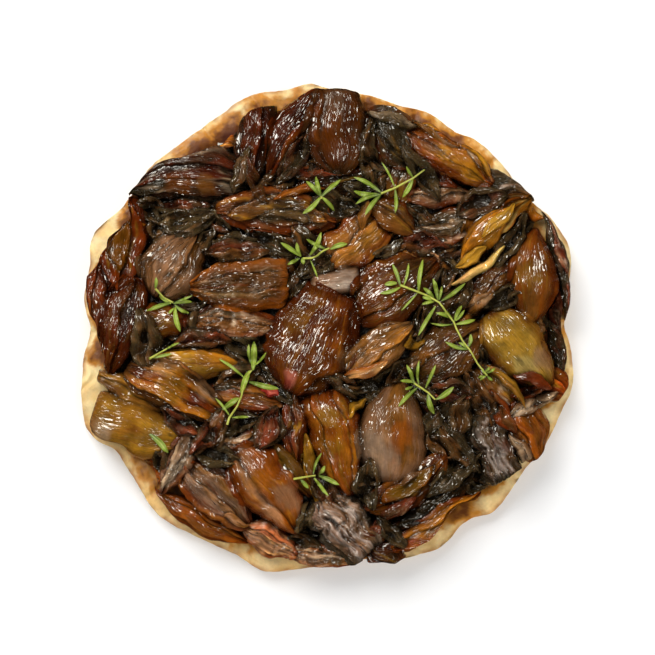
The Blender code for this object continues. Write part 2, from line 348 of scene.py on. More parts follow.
def heights(grid, size, look, flat, terrain):
    """A flattened crown over its waist, which leans to one side and covers what lies beneath."""
    T, S, seed = grid.T, grid.S, grid.seed
    if look.form in ("bulb", "pear", "leaf"):
        fall = (1 - np.abs(T * 0.999) ** 2.6) ** 0.6
    else:
        fall = (1 - np.abs(T * 0.999) ** 8) ** 0.5
    lean = 2.4 * (chance(seed, 3) - 0.5) if look.lean is None else look.lean
    body = (1 - grid.out**look.flat) ** 0.6
    crown = body * fall * (1 + 0.16 * noise(grid.X / 14, grid.Y / 10, seed + 4))
    under = terrain.sample(terrain.blurred(1.2), flat)
    if look.thin:
        under = np.maximum(under, RIM_TOP)
    cover = under + 0.25 + (0.8 if look.thin else 1.3) * smooth(0, 1.6, grid.rim)
    climb = under - np.percentile(under, 35) - (look.tuck or 99)
    cover = cover - 1.6 * np.clip(climb, 0, 3)
    if look.thin:
        return cover + look.thin * crown + lean * 0.3 * S * fall
    waist = size.low + (size.high - size.low) * WAIST
    return np.maximum(waist + (size.high - waist) * crown + lean * S * fall, cover)


def relief(grid, look):
    """How far leaves, folds and wrinkles stand out, in mm; all run from root to tip and wander."""
    X, Y, seed, crinkle = grid.X, grid.Y, grid.seed, look.crinkle
    unrest = min(1, 0.25 + 1.6 * crinkle)
    wander = 0.9 * unrest * noise(X / 9, Y / 7, seed + 5)

    # Leaves lie over each other like tiles: each rises to its edge and drops
    side = 1 if chance(seed, 1) > 0.5 else -1
    phase = look.layers * (0.5 + 0.5 * side * grid.S) + 0.3 * unrest * noise(X / 13, 2.7, seed + 20)
    phase = phase + 0.07 * unrest * noise(X / 4.5, Y / 6, seed + 21) + chance(seed, 2)
    leaf = np.floor(phase)
    tooth = phase - leaf
    own = lattice(leaf.astype(np.int64), np.int64(seed), 11)
    grid.other = lattice(leaf.astype(np.int64), np.int64(seed), 13)
    layered = 1.0 if look.layers else 0.0
    spine = smooth(0.0, 0.9, tooth) - smooth(0.93, 1.0, tooth)
    flank = smooth(0, 0.07, tooth) * smooth(1, 0.93, tooth)
    step = layered * (1.5 * (spine - 0.5) + 0.8 * (own - 0.5) * flank)

    dents = fbm(X / 12, Y / 9, seed + 6, 2)
    folds = ridged(Y / 4.6 + wander * 0.6 + own, X / 15 + wander * 0.4, seed + 7, 3)
    fine = ridged(Y / 2.0 + wander + own, X / 9 + wander * 0.5, seed + 8, 2)
    pucker = ridged(X / 4.5 + wander, Y / 5 + wander, seed + 9, 2)
    patchy = smooth(-0.5, 0.5, noise(X / 11, Y / 8, seed + 10))
    lift = (0.35 + 1.5 * crinkle) * dents + (0.12 + 1.6 * crinkle) * (folds - 0.6) + step
    lift = lift + (0.04 + crinkle * patchy) * (fine - 0.5)
    lift = lift + 1.5 * crinkle * smooth(0.3, 0.8, crinkle) * (pucker - 0.6)
    grid.wander, grid.tooth, grid.own, grid.layered = wander, tooth, own, layered
    grid.folds, grid.fine, grid.patchy = folds, fine, patchy
    return lift


def leaf_tint(grid, look):
    """Each leaf has its own colour, with broad bands and a few narrow streaks, a painted glow of light on its
    thin edge and painted shade in the crevice under it.
    """
    X, Y, seed, wander, layered = grid.X, grid.Y, grid.seed, grid.wander, grid.layered
    bands = smooth(-0.25, 0.3, fbm(Y / 8 + wander * 0.3, X / 30, seed + 11, 3))
    grid.bands = np.clip(bands + layered * (grid.other - 0.5) * 1.3, 0, 1)
    tint = mix(look.main, look.second, grid.bands)
    streak = smooth(0.7, 0.95, ridged(Y / 6, X / 34 + wander * 0.2, seed + 12, 2))
    tint = mix(tint, look.streak, streak * 0.7)
    tint = tint * (0.6 + 0.9 * smooth(-0.6, 0.6, fbm(X / 10, Y / 10, seed + 13)))[..., None]
    tint = tint * (1 + layered * 0.5 * (grid.own - 0.5))[..., None]
    # Painted light: the thin edge of each leaf is brightened, as if lit through.
    painted_edge_glow = smooth(0.6, 0.9, grid.tooth) * (1 - smooth(0.93, 0.97, grid.tooth))
    tint = mix(tint, tint * np.array((1.4, 1.35, 1.2)), layered * painted_edge_glow * 0.7)
    # Painted shade: dark lines in the crevice where each leaf's edge drops onto the next.
    gap = smooth(0.10, 0.0, grid.tooth) + smooth(0.975, 1.0, grid.tooth)
    return mix(tint, tint * 0.35, layered * np.clip(gap, 0, 1))


def cut_face(grid, look, lift, tint):
    """A cut half shows its nested leaves around its core."""
    T, S, seed = grid.T, grid.S, grid.seed
    ct, cs = look.core_at
    along = np.where(T > ct, (T - ct) / (1 - ct), (ct - T) / (1 + ct))
    beside = np.where(S > cs, (S - cs) / (1 - cs), (cs - S) / (1 + cs))
    oval = np.sqrt(along**2 + beside**2) + 0.08 * noise(T * 2.5 + seed, S * 2, seed + 14)
    oval = oval + 0.02 * noise(grid.X / 3, grid.Y / 3, seed + 15)
    ring = np.floor(oval * look.rings)
    turn = oval * look.rings - ring
    crest = smooth(0, 0.75, turn) * smooth(1.0, 0.85, turn)
    lift = lift + 2.0 * (crest - 0.5) - 1.4 * (1 - np.clip(oval, 0, 1))
    tint = tint * (0.65 + 0.7 * lattice(ring.astype(np.int64), np.int64(seed), 17))[..., None]
    # Painted shade: near-black lines in the grooves between the rings.
    tint = mix(tint, tint * 0.15, smooth(0.16, 0.0, turn) + smooth(0.93, 1.0, turn))
    return lift, mix(tint, look.core, smooth(0.6, 0.35, oval) * 0.85)


def cooked_tint(grid, look, tint):
    """Painted shade darkens the creases and, partly as the darker caramel there, the sloping sides and thin
    edges; painted glints lighten the crests; both ends are burnt dark.
    """
    T, X, Y, hand, rim = grid.T, grid.X, grid.Y, grid.hand, grid.rim
    folds, fine, seed, crinkle = grid.folds, grid.fine, grid.seed, look.crinkle
    # Painted shade in the valleys of the folds and of the fine wrinkles.
    tint = mix(tint, tint * 0.35, smooth(0.62, 0.3, folds) * min(1, 0.1 + crinkle * 1.3))
    tint = mix(tint, tint * 0.5, smooth(0.5, 0.2, fine) * min(1, 0.15 + crinkle))
    # Painted glints: the crests are mixed toward the film tone, a painted reflection of the light.
    glint = smooth(0.72, 0.95, folds) + 0.7 * smooth(0.7, 0.95, fine)
    glint = np.clip(glint * smooth(-0.5, 0.4, noise(X / 8, Y / 5, seed + 19)), 0, 1)
    tint = mix(tint, TONES["film"], glint * look.sheen * 0.45 * min(1, 0.3 + crinkle * 1.4))
    # On wrinkled pieces the patches keep to the crests, so film patches there paint sheen.
    crests_only = 1 - min(1, 1.3 * crinkle) * smooth(0.75, 0.5, folds)
    for pt, ps, reach, tone, strength in look.patches:
        away = np.hypot((T - pt) * grid.length, (grid.S - ps) * grid.width) / reach
        share = smooth(1.1, 0.5, away + 0.35 * noise(X / 5, Y / 4, seed + 22)) * strength
        tint = mix(tint, TONES[tone] * (0.8 + 0.4 * grid.bands)[..., None], share * crests_only)
    # Painted shade, partly the darker caramel colour there: thin edges and the sloping sides blend into the
    # rim tone.
    border = smooth(5.0, 0.6, rim) * smooth(-0.8, 0.4, noise(X / 6, hand, seed + 18))
    flanks = smooth(0.4, 0.95, grid.out + 0.25 * noise(X / 8, hand, seed + 25))
    ends = np.maximum(smooth(0.62, 1, T), smooth(0.72, 1, -T))
    ends = np.clip(ends * 0.8 + 0.4 * ends * fbm(Y / 4, X / 6, seed + 15), 0, 1)
    for share in (border * 0.8, flanks * look.flanks, ends * look.ends):
        tint = mix(tint, look.rim, share)
    burnt = smooth(0.75 - look.char, 1.0 - look.char, 0.5 + 0.6 * fbm(X / 11, Y / 8, seed + 16, 3))
    tint = mix(tint, TONES["char"], burnt * 0.9)
    return tint * look.shade * WARMTH**look.warm


def lay(terrain, size, look, seed):
    """One cooked piece over what already lies there: its points and all their layers."""
    grid = make_grid(size, look, seed)
    X, Y, rows = grid.X, grid.Y, len(grid.X)
    flat = outline(grid, size, look)
    z = heights(grid, size, look, flat, terrain)
    lift = relief(grid, look)
    tint = leaf_tint(grid, look)
    if look.form == "half":
        lift, tint = cut_face(grid, look, lift, tint)
    tint = cooked_tint(grid, look, tint)

    points = np.concatenate([flat, z[..., None]], -1)
    normals = grid_normals(points)
    normals = normals * np.sign(normals[..., 2:3] + 1e-9)
    normals[..., 2] = np.maximum(normals[..., 2], 0.3)
    points = points + normals * (lift * (0.25 + 0.75 * smooth(0, 2.2, grid.rim)))[..., None]
    points[..., 2] = press(points[..., 2], CEILING, 1.6)

    # Walls run from each edge down and in to the foot
    columns = [points]
    tints = [tint]
    grains = [np.stack([X, Y, np.full_like(X, seed * 7.0)], -1)]
    walls = 4 if look.thin else 7
    angle = np.linspace(0, math.pi / 2, walls + 1)[1:]
    middle = points.mean(1)
    for column, outward, order in ((-1, -1, angle), (0, 1, angle[::-1])):
        edge = points[:, column]
        base = edge[:, 2] - 1.2 if look.thin else np.minimum(edge[:, 2] - 1.0, size.low - SINK)
        for turn in order:
            drop = (edge[:, 2] - base) * math.sin(turn)
            wrinkle = 0.05 * math.sin(2 * turn) * noise(X[:, 0] / 3, drop / 2, seed + 23)
            inward = 0.45 * (1 - math.cos(turn)) + wrinkle
            near = edge[:, :2] + (middle[:, :2] - edge[:, :2]) * inward[:, None]
            columns.append(np.concatenate([near, (edge[:, 2] - drop)[:, None]], -1)[:, None])
            # Painted shade: each wall takes its edge's tint, darkened by a noisy factor of about 0.3 to 0.9.
            cloud = 0.62 + 0.3 * noise(X[:, 0] / 5, drop / 3, seed + 24)
            tints.append(tint[:, column, None] * cloud[:, None, None])
            strip = np.stack([X[:, 0], Y[:, column] - outward * drop, np.full(rows, seed * 7.0)], -1)
            grains.append(strip[:, None])
    wrinkled = np.clip((0.35 + 1.8 * look.crinkle) * (0.3 + 0.9 * grid.patchy), 0, 1)
    wrinkled = np.concatenate([wrinkled, np.full((rows, 2 * walls), 0.5)], 1)[..., None]
    points = np.concatenate(columns, 1)
    for ring in (0, -1):
        points[ring] = points[ring].mean(0)
    hold_in(points, 1.5 if look.thin else 0)
    terrain.add(points[1:-1, : X.shape[1]])
    return [points, np.concatenate(tints, 1), np.concatenate(grains, 1), wrinkled]


# ---- the shallots

DEFAULT_LOOK = {
    "bow": 0, "wide": 1.04, "layers": 2, "jag": 0.2, "flat": 3.0, "lean": None, "rings": 3,
    "core_at": (0, 0), "char": 0.05, "flanks": 0.55, "ends": 0.8, "sheen": 0.25, "warm": 1,
    "shade": 0.68, "thin": 0, "tuck": 0, "patches": (),
}
DEFAULT_TONES = {"main": "amber", "second": "mahogany", "streak": "ochre", "rim": "mahogany", "core": "umber"}


def look(heading, form, crinkle, tones, **changes):
    """The looks of one piece, with as many of its tones as differ from the default."""
    tones = {**DEFAULT_TONES, **dict(zip(DEFAULT_TONES, tones.split()))}
    colours = {key: TONES[tone] for key, tone in tones.items()}
    values = {**DEFAULT_LOOK, **changes, **colours}
    return SimpleNamespace(heading=heading, form=form, crinkle=crinkle, **values)


# The heading from root to tip, form, wrinkles, tones and other looks of each shallot. A patch is its
# place from root to tip and from side to side (-1 to 1), its reach (mm), tone and strength
LOOKS = {
    "rim_01": look(92, "barrel", 0.12, "mahogany amber dusk umber", layers=1, char=0, shade=0.32,
        patches=((0.75, 0, 9, "dusk", 0.7), (-0.3, 0.1, 8, "amber", 0.6))),
    "rim_02": look(58, "leaf", 0.12, "mahogany mahogany amber", bow=4, shade=0.32),
    "rim_03": look(82, "blunt", 0.35, "mahogany burgundy umber char", shade=0.32),
    "rim_04": look(10, "leaf", 0.45, "honey mahogany amber", bow=3, wide=1.1, char=0, sheen=0.5, shade=1.8),
    "rim_05": look(184, "pear", 0.16, "burgundy char film char", bow=-7, layers=4, char=0.1, sheen=0.9,
        shade=0.42, patches=((0.1, 0.5, 8, "amber", 0.85), (-0.3, 0.4, 5, "honey", 0.5))),
    "rim_06": look(82, "half", 0.3, "rust mahogany ochre mahogany honey", bow=2, rings=2.2, shade=0.32),
    "rim_07": look(82, "leaf", 0.45, "rust mahogany amber", bow=3, sheen=0.5, shade=0.55),
    "rim_08": look(256, "pear", 0.4, "mahogany umber brown", shade=0.42),
    "rim_09": look(153, "leaf", 0.1, "brown olive ochre brown", layers=1),
    "rim_10": look(163, "blunt", 0.05, "ochre olive brown brown", layers=0, jag=0.12, char=0, flanks=0.4,
        patches=((0.3, -0.2, 9, "amber", 0.35), (0.75, 0.5, 7, "film", 0.5))),
    "rim_11": look(242, "leaf", 0.7, "dusk film umber", char=0.1, sheen=0.5),
    "rim_12": look(-45, "pear", 0.35, "dusk brown mahogany", layers=3, sheen=0.6, warm=0.3, shade=0.92),
    "rim_13": look(-30, "leaf", 0.2, "brown amber mahogany", bow=-2),
    "rim_14": look(-54, "pear", 0.06, "amber mauve honey", layers=1, char=0,
        patches=((0.35, 0.45, 8, "mauve", 0.7), (-0.2, 0, 6, "honey", 0.4))),
    "rim_15": look(-52, "bulb", 0.2, "brown olive", shade=0.32),
    "rim_16": look(-28, "leaf", 0.7, "dusk rust beige", sheen=0.8, shade=1.15),
    "rim_17": look(-48, "sheet", 0.8, "dusk umber film char", layers=3, jag=0.3, sheen=1.5, warm=0,
        shade=1.15, patches=((0, 0, 10, "film", 0.3),)),
    "rim_18": look(-6, "leaf", 0.8, "dusk umber film", char=0.2, sheen=0.8, shade=1.15),
    "rim_19": look(-28, "leaf", 0.5, "burgundy umber", char=0.2, shade=0.42),
    "rim_20": look(33, "bulb", 0.45, "honey rust honey", bow=-3, sheen=0.5),
    "rim_21": look(42, "leaf", 0.8, "char soot umber", bow=-4, char=0.5, shade=0.32),
    "rim_22": look(32, "half", 0.15, "amber honey mahogany mahogany ochre", bow=-4, rings=1.6,
        core_at=(0, 0.3), shade=0.32),
    "rim_23": look(-72, "sheet", 0.8, "umber char burgundy char", jag=0.3, char=0.15, sheen=2, warm=0,
        shade=0.78, patches=((0.3, 0.1, 8, "film", 0.6), (-0.5, -0.3, 6, "film", 0.5),
        (0, 0.7, 4, "burgundy", 0.6))),
    "rim_24": look(-65, "pear", 0.25, "brown amber burgundy", sheen=0.5),
    "rim_25": look(-50, "pear", 0.08, "yellow ochre yellow", layers=0, jag=0.1, char=0, warm=0.4,
        patches=((0.3, -0.2, 7, "pale", 0.6), (0.45, 0.5, 7, "mauve", 0.6))),
    "rim_26": look(-35, "leaf", 0.5, "rust brown"),
    "rim_27": look(-47, "bulb", 0.5, "brown ochre film", bow=2, sheen=0.5, shade=0.92),
    "rim_28": look(86, "leaf", 0.06, "amber brown olive", layers=1, jag=0.08, char=0, shade=0.55,
        patches=((0.1, 0.1, 7, "ochre", 0.45),)),
    "rim_29": look(-76, "leaf", 0.9, "burgundy char dusk char", bow=3, char=0.25, sheen=1, warm=0.5,
        shade=1.15),
    "rim_30": look(38, "pear", 0.2, "honey amber pale brown", layers=4, char=0, shade=0.42),
    "rim_31": look(42, "bulb", 0.5, "umber brown burgundy", bow=-2, char=0.1, sheen=0.5, shade=0.42),
    "rim_32": look(-10, "bulb", 0.7, "umber char dusk char", char=0.3, sheen=1.4, warm=0.3, shade=1.15),
    "rim_33": look(-33, "bulb", 0.4, "ochre amber burgundy", bow=2, layers=3, sheen=0.7, shade=0.92,
        patches=((-0.55, -0.6, 9, "mahogany", 0.85), (0.2, 0, 8, "honey", 0.5))),
    "rim_34": look(-50, "bulb", 0.5, "soot char olive", char=0.35, sheen=0.6),
    "inner_01": look(62, "egg", 0.1, "amber mahogany honey", layers=1, flat=2.6, lean=1.8, char=0,
        sheen=0.7, shade=0.42, patches=((-0.78, 0.1, 5, "pink", 0.8), (-0.9, 0.2, 4, "red", 0.7),
        (0, -0.85, 6, "beige", 0.5), (0.2, 0.6, 7, "ochre", 0.4))),
    "inner_02": look(8, "sheet", 0.12, "film dusk dusk umber", layers=0, char=0, flanks=0.3, ends=0.4,
        sheen=0.8, warm=0.4, shade=0.92),
    "inner_03": look(38, "sheet", 0.3, "brown olive umber", sheen=0.4, shade=1.15),
    "inner_04": look(-32, "leaf", 0.2, "brown umber olive", bow=2),
    "inner_05": look(35, "pear", 0.2, "amber umber olive", shade=0.42),
    "inner_06": look(38, "bulb", 0.4, "brown brown dusk umber", sheen=0.5, warm=0.6, shade=1.15),
    "inner_07": look(86, "pear", 0.08, "dusk brown brown umber", layers=0, jag=0.06, flat=2.4, char=0,
        flanks=0.5, ends=0.5, warm=0.7, shade=0.78, patches=((-0.45, 0.6, 13, "film", 0.45),
        (0.6, 0, 8, "brown", 0.6), (0, -0.3, 7, "amber", 0.9), (-0.25, -0.2, 4, "amber", 0.6))),
    "inner_08": look(104, "blunt", 0.16, "amber honey", char=0, flanks=0.85, sheen=0.5,
        patches=((0.55, 0.15, 6, "yellow", 0.6), (0, 0.25, 6, "ochre", 0.5))),
    "inner_09": look(93, "leaf", 0.5, "burgundy umber", char=0.15, shade=0.92),
    "inner_10": look(14, "leaf", 0.7, "mauve umber film", char=0.1, sheen=1.2, warm=0.3, shade=1.8),
    "inner_11": look(-14, "bulb", 0.5, "brown burgundy mahogany", char=0.1, sheen=0.6, shade=1.15),
    # The beige and film patches along inner_12's edge are painted glints.
    "inner_12": look(-28, "pear", 0.3, "honey mahogany rust umber", bow=2, layers=4, char=0, sheen=0.6,
        patches=((-0.5, 0.8, 9, "beige", 0.6), (0.3, 0.9, 7, "film", 0.6), (-0.2, 0, 9, "ochre", 0.5))),
    "inner_13": look(-5, "leaf", 0.06, "ochre honey mahogany brown", bow=1, layers=1, char=0),
    "inner_14": look(0, "barrel", 0.1, "brown amber", layers=0, shade=0.42),
    "inner_15": look(55, "pear", 0.4, "brown mauve umber umber", sheen=0.6, shade=0.55),
    "inner_16": look(4, "blunt", 0.5, "umber soot mahogany amber", layers=3, ends=0.4, sheen=0.7,
        shade=0.92),
    "inner_17": look(-4, "bulb", 0.7, "umber dusk film", char=0.15, sheen=0.8, shade=1.15),
    "inner_18": look(176, "half", 0.4, "brown umber ochre mahogany soot", bow=-3, rings=2.4,
        core_at=(-0.2, 0.45), char=0.1, sheen=0.5, shade=0.92),
    "inner_19": look(13, "leaf", 0.35, "burgundy char", bow=-2, sheen=0.4, shade=0.42),
    "inner_20": look(2, "bulb", 0.6, "umber dusk film", bow=1, char=0.2, sheen=0.8, shade=1.15),
    "inner_21": look(5, "leaf", 0.6, "soot umber film", char=0.3, sheen=0.6, shade=1.15),
    "inner_22": look(38, "pear", 0.35, "umber brown burgundy umber", sheen=0.4, shade=0.42),
    "inner_23": look(62, "bulb", 0.35, "brown olive burgundy", char=0.2, shade=0.55),
}

# ---- loose leaves

# The CAD shallot that a leaf lies by, its offset from the middle of that (mm), its length and
# width (mm), heading, bow (mm), main and second tone, and how crinkled it is
LOOSE = (
    ("rim_03", -7, -12, 22, 7, 70, 1, "umber soot", 0.5),
    ("rim_05", 30, -2, 24, 7, -66, -2, "burgundy umber", 0.35),
    ("rim_05", 6, -13, 34, 6, 8, 1, "brown mauve", 0.5),
    ("inner_15", -1, 21, 34, 7, 11, 1, "honey amber", 0.15),
    ("inner_15", 1, 15, 26, 7, 16, 0, "burgundy mahogany", 0.35),
    ("inner_15", 6, 14, 32, 4, 21, 0, "char soot", 0.8),
    ("inner_16", -9, 15, 16, 11, 60, 0, "burgundy umber", 0.6),
    ("inner_16", 6, 15, 23, 10, 5, 0, "umber soot", 0.7),
    ("inner_16", 19, 9, 22, 7, -40, 2, "burgundy umber", 0.5),
    ("inner_18", 10, 10, 24, 5, 12, 2, "brown amber", 0.25),
    ("inner_18", 8, -9, 46, 5, -6, -4, "brown mahogany", 0.2),
    ("inner_19", 7, -9, 26, 7, 62, 0, "umber brown", 0.4),
    ("inner_19", 15, -14, 20, 6, 75, 0, "soot brown", 0.4),
    ("rim_34", 1, 8, 24, 7, -15, 1, "soot film", 0.8),
    ("rim_33", -1, 6, 40, 9, -35, 3, "brown film", 0.7),
    ("rim_33", -6, -8, 24, 8, -40, 0, "burgundy mahogany", 0.3),
    ("inner_05", 10, 14, 32, 6, -15, 4, "brown mauve", 0.35),
    ("inner_05", 25, 8, 18, 10, -30, 0, "brown umber", 0.3),
    ("inner_05", 4, 19, 18, 5, -45, 0, "umber brown", 0.3),
    ("rim_31", 8, 14, 28, 7, 40, 0, "umber soot", 0.4),
    ("rim_31", -10, 6, 20, 9, 25, 0, "olive ochre", 0.15),
    ("rim_30", 17, 5, 14, 8, -25, 0, "honey amber", 0.1),
    ("rim_28", -18, -8, 33, 9, 45, 0, "brown umber", 0.4),
    ("rim_28", -25, -12, 20, 8, 45, 0, "brown film", 0.55),
    ("rim_29", 0, -20, 24, 7, 95, 0, "char burgundy", 0.8),
    ("inner_14", 2, -8, 33, 6, 18, 0, "brown mauve", 0.1),
    ("inner_17", -17, -9, 30, 9, -5, 0, "umber soot", 0.35),
    ("inner_13", 17, 3, 11, 6, -10, 0, "olive umber", 0.2),
    ("inner_11", 6, -9, 22, 7, 0, 0, "umber mahogany", 0.4),
    ("inner_12", 12, -17, 22, 8, -20, 0, "char soot", 0.7),
    ("rim_10", 5, -18, 19, 8, -57, 0, "amber mahogany", 0.35),
    ("rim_12", 9, -12, 13, 4, -25, 0, "mauve brown", 0.3),
    ("rim_15", 9, -2, 28, 8, -75, 0, "brown olive", 0.3),
    ("rim_14", 17, -13, 18, 9, 60, 0, "char soot", 0.8),
    ("rim_19", -3, 11, 22, 10, 30, 0, "burgundy umber", 0.6),
    ("rim_21", -18, -9, 24, 8, 35, 0, "soot burgundy", 0.7),
    ("rim_21", 8, 7, 32, 11, 40, 0, "char soot", 0.8),
    ("rim_22", 12, 18, 18, 6, 25, 2, "mahogany film", 0.4),
    ("rim_22", 18, 21, 24, 8, 50, 0, "burgundy film", 0.6),
    ("rim_23", -13, 7, 34, 12, 70, 0, "char soot", 0.7),
    ("rim_24", -2, -9, 22, 6, -50, 0, "umber film", 0.6),
    ("rim_24", 2, 12, 26, 8, 28, 0, "umber film", 0.6),
    ("rim_25", 6, -14, 19, 8, -20, 0, "burgundy mahogany", 0.4),
    ("rim_25", 18, 1, 27, 9, -80, 2, "burgundy char", 0.6),
    ("rim_26", -11, -3, 17, 6, 20, 0, "char mahogany", 0.6),
    ("rim_27", 1, -9, 23, 8, -60, 0, "umber mahogany", 0.5),
    ("rim_27", 4, 3, 26, 5, -47, 2, "brown olive", 0.1),
    ("inner_22", 4, -20, 25, 10, 55, 0, "umber brown", 0.4),
    ("inner_22", 9, -20, 21, 6, 52, 0, "umber film", 0.7),
    ("inner_22", -6, -21, 18, 9, 60, 0, "brown mahogany", 0.4),
    ("inner_06", -6, -9, 23, 6, 22, -2, "beige amber", 0.2),
    ("inner_06", 16, 3, 11, 8, 15, 0, "ochre olive", 0.1),
    ("inner_08", -11, -12, 34, 6, 100, 0, "brown ochre", 0.2),
)

# The same for leaves that lie on top of everything
TOPMOST = (
    ("rim_30", -5, -6, 34, 13, 50, 2, "olive honey", 0.15),
    ("rim_30", 1, 0, 22, 6, 45, 0, "yellow ochre", 0.1),
    ("rim_31", -11, 5, 17, 6, 36, 0, "ochre yellow", 0.1),
    ("rim_31", -7.5, 1, 30, 4, 38, -1, "beige pale", 0.1),
    ("inner_11", 10, 3, 10, 5, -25, 0, "pink red", 0.15),
    ("inner_07", -16, 11, 12, 5, 40, 2, "olive ochre", 0.2),
)
LOOSE_SHADES = {"burgundy": 0.55, "mahogany": 0.55, "pink": 1.0}


def centre(name):
    """The middle of a CAD shallot seen from above, in mm."""
    low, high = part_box("shallot_" + name)
    return (low + high) / 2 / MM


def thin_size(x, y, turn, half_length, half_width):
    axis, side = axes(turn)
    return SimpleNamespace(
        axis=axis, side=side, middle=np.array([x, y]), half_length=half_length, half_width=half_width,
    )


def loose_leaf(terrain, row, seed, tuck):
    anchor, dx, dy, length, width, heading, bow, tones, crinkle = row
    middle = centre(anchor)
    size = thin_size(middle.x + dx, middle.y + dy, math.radians(heading), length / 2, width / 2)
    main, second = tones.split()
    rim = main if second == "film" else second
    looks = look(
        heading, "leaf", crinkle, f"{main} {second} {main} {rim}", bow=bow, layers=1, thin=3.2,
        jag=0.25, sheen=0.6, tuck=tuck, shade=LOOSE_SHADES.get(main, 0.8),
    )
    return lay(terrain, size, looks, seed)


# ---- scraps in the gaps

# Collapsed leaves laid into the lowest places: how many, how far from the middle of the tart
# they reach (mm), half lengths and half widths from and to (mm), and how high they puff up (mm)
LEAVES = (56, 86, 10, 16, 4.0, 7.2, 4.2)
SHREDS = (30, 95, 6, 10, 2.2, 4.0, 2.0)
KEPT_CLEAR = ("inner_02", "inner_06", "inner_07", "inner_08", "rim_25", "rim_28", "rim_33")
DARK = ("char", "umber", "char", "soot", "burgundy", "umber", "char", "soot", "umber", "soot")
FORMS = ("leaf", "bulb", "pear", "leaf")


def fill_gaps(terrain, kind, first_seed):
    """Shrivelled leaves laid one by one into the lowest place that is left."""
    number, limit, short, long, narrow, broad, puff = kind
    axis = np.arange(terrain.count) * terrain.cell - terrain.span
    gx, gy = np.meshgrid(axis, axis)
    inside = np.hypot(gx, gy) < limit

    def hill(x, y, height, spread):
        return height * np.exp(-((gx - x) ** 2 + (gy - y) ** 2) / spread)

    visits = sum(hill(centre(name).x, centre(name).y, 9, 90) for name in KEPT_CLEAR)
    surfaces = []
    for k in range(number):
        seed = first_seed + 13 * k
        hollow = np.where(inside, -terrain.blurred(1.8) - visits, -99)
        row, col = np.unravel_index(np.argmax(hollow), hollow.shape)
        x, y = gx[row, col], gy[row, col]

        # It lies in the direction that runs lowest
        run = np.linspace(-1, 1, 9)[:, None] * long * 0.8
        turns = math.pi * np.arange(12) / 12
        lines = [np.array([x, y]) + run * axes(turn)[0] for turn in turns]
        ground = [terrain.sample(terrain.height + visits, line).sum() for line in lines]
        turn = turns[int(np.argmin(ground))] + 0.5 * (chance(seed, 4) - 0.5)
        half_length = short + (long - short) * chance(seed, 6)
        half_width = narrow + (broad - narrow) * chance(seed, 7)
        size = thin_size(x, y, turn, half_length, half_width)
        size.middle = size.middle + size.axis * (chance(seed, 5) - 0.5) * short
        main, second = (DARK[int(chance(seed, draw) * 10)] for draw in (8, 9))
        looks = look(
            0, FORMS[int(chance(seed, 12) * 4)], 0.3 + 0.6 * chance(seed, 11), f"{main} {second} umber char",
            bow=4 * (chance(seed, 10) - 0.5), jag=0.3, char=0.12, sheen=0.5, thin=puff, tuck=3.2, shade=0.85,
        )
        surfaces.append(lay(terrain, size, looks, seed))
        visits = visits + hill(x, y, 1.5, 25)
    return surfaces


# ---- caramel and pastry


def bed_surface():
    """The dark caramel between the shallots, as rings of points."""
    radius = np.linspace(0.2, BED_RADIUS, 90)
    angle = np.linspace(0, 2 * math.pi, 260, endpoint=False)
    R, A = np.meshgrid(radius, angle, indexing="ij")
    x, y = R * np.cos(A), R * np.sin(A)
    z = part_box("caramel_bed")[1].z / MM + BED_LIFT + 1.5 * fbm(x / 14, y / 14, 402, 2)
    z = z + 1.6 * (ridged(x / 11, y / 11, 401, 2) - 0.6) - smooth(84, BED_RADIUS, R) * 4.5
    tint = mix(TONES["char"] * 1.5, TONES["soot"] * 1.5, smooth(-0.2, 0.4, fbm(x / 8, y / 8, 404)))
    tint = mix(tint, TONES["burgundy"] * 0.5, smooth(0.1, 0.5, fbm(x / 9, y / 9, 405)) * 0.7)
    return [np.stack([x, y, z], -1), tint, np.stack([x, y, z * 0], -1)]


def pastry_section():
    """Half a section of the rim, in mm: radius, height, and 0 on top, 1 at the lip, 2 below."""
    section = []
    for s in np.linspace(0, 1, 46):
        height = 6.2 + 3.6 * smooth(0.15, 0.75, s) - 0.9 * smooth(0.85, 1.0, s)
        section.append((RIM_INNER + (RIM_RADIUS - RIM_INNER) * s, height, 0))
    for s in np.linspace(0, 1, 14)[1:]:
        section.append((RIM_RADIUS + 0.5 * math.sin(s * math.pi) - 3.5 * s**1.5, 8.8 - 4.2 * s, 1))
    for s in np.linspace(0, 1, 16)[1:]:
        section.append((103.5 - 13.5 * s, 4.6 - 4.6 * smooth(0, 1, s) ** 0.8, 2))
    section += [(45, 0.0, 2), (0.5, 0.0, 2)]
    return np.array(section)


